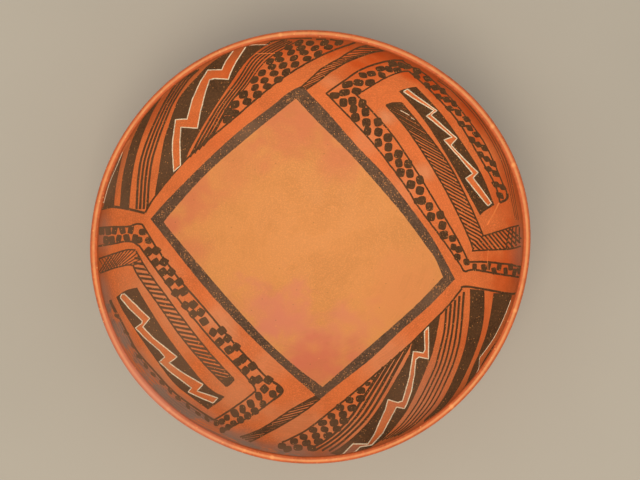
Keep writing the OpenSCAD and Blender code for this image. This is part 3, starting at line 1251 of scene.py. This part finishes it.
def lip_finish():
    """Lip paler along its crest, partly rubbed and partly a painted highlight, and darker down its sides as
    painted shade, with small nicks down to the clay.
    """
    colours = settings("bowl_colours")
    base = colours.lip
    walls = bowl_walls()
    finish = Finish("lip_wear")
    clay = finish.mottled(base, deep=0.82, pale=1.2, clouds=75.0, grain=500.0)
    upward = finish.apart(finish.add("NewGeometry").outputs["Normal"])[2]
    # Painted shade: the lip darkens where its surface turns away from straight up
    clay = finish.mix(finish.fade(upward, (0.35, 0.75), (0.65, 0.0)), clay, toned(base, 0.5))
    # Painted highlight, partly bare clay from wear: the crest is paler where its surface faces straight up
    uneven = finish.fade(finish.clouds(scale=110.0, detail=4.0), (0.3, 0.6), (0.55, 1.0))
    crest = finish.math("MULTIPLY", finish.fade(upward, (0.9, 1.0)), uneven)
    clay = finish.tinted(clay, colours.crest, crest, strength=0.85)
    for pixel in NICKS:
        aside = Vector(pixel) - AXIS_PIXEL
        turn = math.atan2(-aside.y, aside.x)
        top = walls.hand_made(walls.lip.x, walls.shape.height, (0, 1), turn, 0)
        nick = finish.group("soft_spot", Centre=top, Radius=NICK_RADIUS, Ragged=1.2)
        clay = finish.mix(nick, clay, toned(colours.crest, 1.15))
    # Painted sheen: the lip greys at the lower left
    clay = finish.patched(clay, LIP_SHEEN, toned(colours.pink, 0.8), ragged=0.5)
    specks = finish.group("grit", Scale=520.0, Share=0.1, Size=0.3)
    clay = finish.tinted(clay, toned(colours.crest, 1.2), specks, strength=0.7)
    roughness = finish.fade(finish.clouds(scale=240.0, detail=3.0), (0.3, 0.7), (0.4, 0.62))
    relief = finish.clouds(scale=420.0, detail=4.0)
    return finish.coat(clay, roughness, relief, strength=0.3, depth=0.25 * MM)


def outside_finish():
    """Slip outside the bowl, scraped round, with fire clouds."""
    colours = settings("bowl_colours")
    base = colours.outside
    walls = bowl_walls()
    finish = Finish("outside_slip")
    clay = finish.mottled(base, deep=0.68, pale=1.3, clouds=24.0, grain=330.0)
    for turn, angle, radius, strength in FIRE_CLOUDS:
        turn, angle = math.radians(turn), math.radians(angle)
        across = walls.outer_r * math.sin(angle)
        height = walls.outer_z - walls.outer_r * math.cos(angle)
        centre = (across * math.cos(turn), across * math.sin(turn), height)
        cloud = finish.group("soft_spot", Centre=centre, Radius=radius, Ragged=1.1)
        clay = finish.tinted(clay, colours.smoke, cloud, strength)
    specks = finish.group("grit", Scale=240.0, Share=0.08, Size=0.3)
    marks = finish.group("polish_marks", Scale=520.0, Waver=0.01)
    clay = finish.streaked(clay, toned(base, 0.6), marks, strength=0.3)
    clay = finish.tinted(clay, toned(base, 1.7), specks, strength=0.5)
    roughness = finish.fade(marks, (0.1, 0.6), (0.5, 0.68))
    return finish.coat(clay, roughness, marks, strength=0.4, depth=0.3 * MM)


def foot_finish():
    """Bare clay of the resting face, scuffed by use."""
    base = settings("bowl_colours").foot
    finish = Finish("foot_wear")
    clay = finish.mottled(base, deep=0.6, pale=1.25, clouds=60.0, grain=300.0)
    scuffs = finish.group("thin_paint", Scale=300.0, Share=0.6)
    specks = finish.group("grit", Scale=200.0, Share=0.2, Size=0.34)
    clay = finish.tinted(clay, toned(base, 1.3), scuffs, strength=0.5)
    clay = finish.tinted(clay, toned(base, 0.5), specks, strength=0.6)
    roughness = finish.fade(scuffs, (0.0, 1.0), (0.72, 0.85))
    relief = finish.math("SUBTRACT", scuffs, specks)
    return finish.coat(clay, roughness, relief, strength=0.3, depth=0.2 * MM)


def paint_finish(name, base, thin_share, under, patches=(), tint=None, streaks=0.0, speckled=0.07):
    """Brushed mineral paint, thin in places over the slip under it, with pale specks and any soft patches.

    The streaks are the share of the paint that is rubbed off in lines round the rim.
    """
    ready = bpy.data.materials.get(name)
    if ready:
        return ready
    finish = Finish(name)
    film = finish.mottled(base, deep=0.7, pale=1.55, clouds=90.0, grain=900.0)
    film = finish.patched(film, patches, tint, ragged=0.5)
    thin = finish.group("thin_paint", Scale=900.0, Share=thin_share)
    specks = finish.group("grit", Scale=760.0, Share=speckled, Size=0.27)
    film = finish.tinted(film, under, thin, strength=0.6)
    if streaks:
        rubbed = finish.group("polish_marks", Scale=520.0, Waver=0.004)
        film = finish.mix(finish.fade(rubbed, (0.1, 0.55), (0.0, streaks)), film, under)
    film = finish.tinted(film, toned(under, 1.3), specks, strength=0.85)
    roughness = finish.fade(thin, (0.0, 1.0), (0.72, 0.62))
    relief = finish.math("SUBTRACT", finish.clouds(scale=700.0, detail=4.0), thin)
    return finish.coat(film, roughness, relief, strength=0.2, depth=0.08 * MM)


def black_finish():
    colours = settings("bowl_colours")
    # Painted sheen makes the black paint paler and greyer on the left and lower wall
    return paint_finish("black_paint", colours.black, thin_share=0.06, under=colours.floor,
                        patches=LOWER_RIM_SHADE_AND_SHEEN + BLACK_PAINT_SHEEN, tint=colours.paint_sheen, speckled=0.12)


def frame_finish():
    colours = settings("bowl_colours")
    return paint_finish("frame_paint", colours.frame, thin_share=0.16, under=colours.floor,
                        patches=FRAME_WEAR, tint=toned(colours.frame, 1.9), speckled=0.42)


def faded_finish():
    colours = settings("bowl_colours")
    # Painted shade and sheen grey the worn paint under the lip
    return paint_finish("faded_paint", colours.faded, thin_share=0.2, under=colours.slip,
                        patches=LOWER_RIM_SHADE_AND_SHEEN, tint=colours.shade_and_sheen_grey, streaks=0.75)


def white_finish():
    colours = settings("bowl_colours")
    return paint_finish("white_paint", colours.white, thin_share=0.06, under=toned(colours.slip, 0.8))


def scratch_finish():
    colours = settings("bowl_colours")
    return paint_finish("scratched_slip", toned(colours.slip, 1.35), thin_share=0.5, under=colours.slip)


def studio_finish():
    """Matt pale floor with a very faint unevenness."""
    base = settings("studio_look").floor
    finish = Finish("studio_floor")
    tone = finish.fade(finish.clouds(scale=3.0, detail=3.0), (0.3, 0.7))
    finish.put(finish.shader["Base Color"], finish.mix(tone, toned(base, 0.97), toned(base, 1.03)))
    finish.put(finish.shader["Roughness"], 0.9)
    return finish.material


# Operators for the pieces

class BOWL_OT_body(Operator):
    """Make the clay body, which stands for the base pat, the wall coils and the rim coil"""

    bl_idname = "bowl.body"
    bl_label = "Clay Body"

    def execute(self, context):
        piece = add_piece("bowl_body", body_mesh(bowl_walls()), "red_slip", slip_finish(), floor_finish(),
                          lip_finish(), outside_finish(), foot_finish())
        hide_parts(*frame["nodes"])
        return {"FINISHED"}


class BOWL_OT_frame(Operator):
    """Paint the square frame round the floor"""

    bl_idname = "bowl.frame"
    bl_label = "Floor Frame"

    def execute(self, context):
        return lay_paint("floor_frame", frame_finish(), [loop(FRAME_OUTER)], [loop(FRAME_INNER)])


class BOWL_OT_fan_stripes(Operator):
    """Paint the solid stripes of the two fans"""

    bl_idname = "bowl.fan_stripes"
    bl_label = "Fan Stripes"

    def execute(self, context):
        return lay_paint("fan_stripes", black_finish(), outlines_of(FAN_STRIPES), layer=1)


class BOWL_OT_fan_lines(Operator):
    """Paint the fine lines of the two fans"""

    bl_idname = "bowl.fan_lines"
    bl_label = "Fan Lines"

    def execute(self, context):
        return lay_paint("fan_lines", black_finish(), outlines_of(FAN_LINES + FAN_BUNDLES), layer=2)


class BOWL_OT_zigzag_fields(Operator):
    """Paint the solid fields round the four zigzags"""

    bl_idname = "bowl.zigzag_fields"
    bl_label = "Zigzag Fields"

    def execute(self, context):
        holes = [zigzag.hole() for zigzag in ZIGZAGS]
        return lay_paint("zigzag_fields", black_finish(), outlines_of(ZIGZAGS), holes, layer=3)


class BOWL_OT_checker_dabs(Operator):
    """Paint the dabs of the checkered bands"""

    bl_idname = "bowl.checker_dabs"
    bl_label = "Checker Dabs"

    def execute(self, context):
        return lay_paint("checker_dabs", black_finish(), outlines_of(CHECKER_DABS), layer=4)


class BOWL_OT_checker_borders(Operator):
    """Paint the border lines of the checkered bands"""

    bl_idname = "bowl.checker_borders"
    bl_label = "Checker Borders"

    def execute(self, context):
        return lay_paint("checker_borders", black_finish(), outlines_of(CHECKER_BORDERS), layer=5)


class BOWL_OT_hatched_bands(Operator):
    """Paint the hatched bands with their edges"""

    bl_idname = "bowl.hatched_bands"
    bl_label = "Hatched Bands"

    def execute(self, context):
        edges = [Line(HATCH_EDGE, edge) for band in HATCHED_BANDS for edge in (band.first, band.last)]
        marks = TURNED_EDGES + SOLID_ENDS + edges + HATCHED_BANDS + TURNED_HATCHING
        return lay_paint("hatched_bands", black_finish(), outlines_of(marks), layer=6)


class BOWL_OT_worn_rim(Operator):
    """Paint what is left of the worn bands along the lip, and the dark lines under the lip that are painted
    shade
    """

    bl_idname = "bowl.worn_rim"
    bl_label = "Worn Rim Paint"

    def execute(self, context):
        return lay_paint("worn_rim_paint_and_lip_shade", faded_finish(), outlines_of(LIP_SHADE_AND_WORN_LINES + WORN_BUNDLES), layer=-2)


class BOWL_OT_worn_dabs(Operator):
    """Paint the dabs and lines that still show near the worn rim, with dark lines along the lip that are
    partly painted shade
    """

    bl_idname = "bowl.worn_dabs"
    bl_label = "Worn Dabs"

    def execute(self, context):
        marks = WORN_DABS + WORN_EDGES + RIM_BUNDLES
        return lay_paint("worn_dabs", black_finish(), outlines_of(marks), layer=-1)


class BOWL_OT_white_lines(Operator):
    """Paint the white outlines of the zigzags and the pale lines by the rim"""

    bl_idname = "bowl.white_lines"
    bl_label = "White Outlines"

    def execute(self, context):
        outlines = [zigzag.white_outline() for zigzag in ZIGZAGS] + outlines_of(PALE_LINES)
        return lay_paint("white_outlines", white_finish(), outlines, layer=7, slot="white_paint")


class BOWL_OT_scratches(Operator):
    """Lay the hairline scratches in the slip"""

    bl_idname = "bowl.scratches"
    bl_label = "Scratches"

    def execute(self, context):
        return lay_paint("scratches", scratch_finish(), outlines_of(SCRATCHES), layer=8, slot="red_slip")


# Stage

# Half the width of the floor, in metres
FLOOR_HALF = 3
# Soft lamp: its colour, its width and its place, in metres
LAMP_COLOUR = (1, 0.93, 0.82)
LAMP_WIDTH = 0.7
LAMP_PLACE = Vector((-0.12, -0.4, 1.5))
SKY_COLOUR = (0.95, 0.98, 1, 1)


class BOWL_OT_stage(Operator):
    """Make the pale floor, the soft light and the camera over the bowl"""

    bl_idname = "bowl.stage"
    bl_label = "Stage"

    def execute(self, context):
        look = context.scene.studio_look
        self.floor()
        self.lamp(look.lamp)
        self.sky(context.scene, look.sky)
        self.camera(context.scene, look)
        context.scene.view_settings.view_transform = "Standard"
        return {"FINISHED"}

    def floor(self):
        half = FLOOR_HALF
        mesh = bpy.data.meshes.new("studio_floor")
        corners = [(-half, -half, 0), (half, -half, 0), (half, half, 0), (-half, half, 0)]
        mesh.from_pydata(corners, [], [(0, 1, 2, 3)])
        mesh.materials.append(studio_finish())
        add_object("studio_floor", mesh)

    def lamp(self, power):
        light = bpy.data.lights.new("soft_lamp", "AREA")
        light.energy = power
        light.color = LAMP_COLOUR
        light.size = LAMP_WIDTH
        lamp = add_object("soft_lamp", light)
        lamp.location = LAMP_PLACE
        lamp.rotation_euler = (-LAMP_PLACE).to_track_quat("-Z", "Y").to_euler()

    def sky(self, scene, strength):
        world = bpy.data.worlds.new("studio_sky")
        world.use_nodes = True
        background = world.node_tree.nodes["Background"].inputs
        background["Color"].default_value = SKY_COLOUR
        background["Strength"].default_value = strength
        scene.world = world

    def camera(self, scene, look):
        """Camera straight above the bowl, framed as the photograph is."""
        lens = bpy.data.cameras.new("camera")
        lens.sensor_width = SENSOR
        lens.lens = look.lens
        lens.shift_x = (PHOTO_WIDTH / 2 - AXIS_PIXEL.x) / PHOTO_WIDTH
        lens.shift_y = (AXIS_PIXEL.y - PHOTO_HEIGHT / 2) / PHOTO_WIDTH
        camera = add_object("camera", lens)
        camera.location.z = look.camera_height
        scene.camera = camera


OPERATORS = [BOWL_OT_body, BOWL_OT_frame, BOWL_OT_fan_stripes, BOWL_OT_fan_lines, BOWL_OT_zigzag_fields,
             BOWL_OT_checker_dabs, BOWL_OT_checker_borders, BOWL_OT_hatched_bands, BOWL_OT_worn_rim,
             BOWL_OT_worn_dabs, BOWL_OT_white_lines, BOWL_OT_scratches, BOWL_OT_stage]


class BOWL_PT_panel(Panel):
    """Sidebar panel with the bowl's settings and its pieces"""

    bl_label = "Painted Coil Bowl"
    bl_space_type = "VIEW_3D"
    bl_region_type = "UI"
    bl_category = "Bowl"

    def draw(self, context):
        for name, group in SETTINGS.items():
            box = self.layout.box()
            for field in group.__annotations__:
                box.prop(getattr(context.scene, name), field)
        for operator in OPERATORS:
            self.layout.operator(operator.bl_idname)


CLASSES = [*SETTINGS.values(), *OPERATORS, BOWL_PT_panel]


def register():
    for each in CLASSES:
        bpy.utils.register_class(each)
    for name, group in SETTINGS.items():
        setattr(bpy.types.Scene, name, PointerProperty(type=group))


def unregister():
    for name in SETTINGS:
        delattr(bpy.types.Scene, name)
    for each in reversed(CLASSES):
        bpy.utils.unregister_class(each)


def main():
    register()
    bpy.ops.bowl.body()
    bpy.ops.bowl.frame()
    bpy.ops.bowl.fan_stripes()
    bpy.ops.bowl.fan_lines()
    bpy.ops.bowl.zigzag_fields()
    bpy.ops.bowl.checker_dabs()
    bpy.ops.bowl.checker_borders()
    bpy.ops.bowl.hatched_bands()
    bpy.ops.bowl.worn_rim()
    bpy.ops.bowl.worn_dabs()
    bpy.ops.bowl.white_lines()
    bpy.ops.bowl.scratches()
    bpy.ops.bowl.stage()


if __name__ == "__main__":
    main()
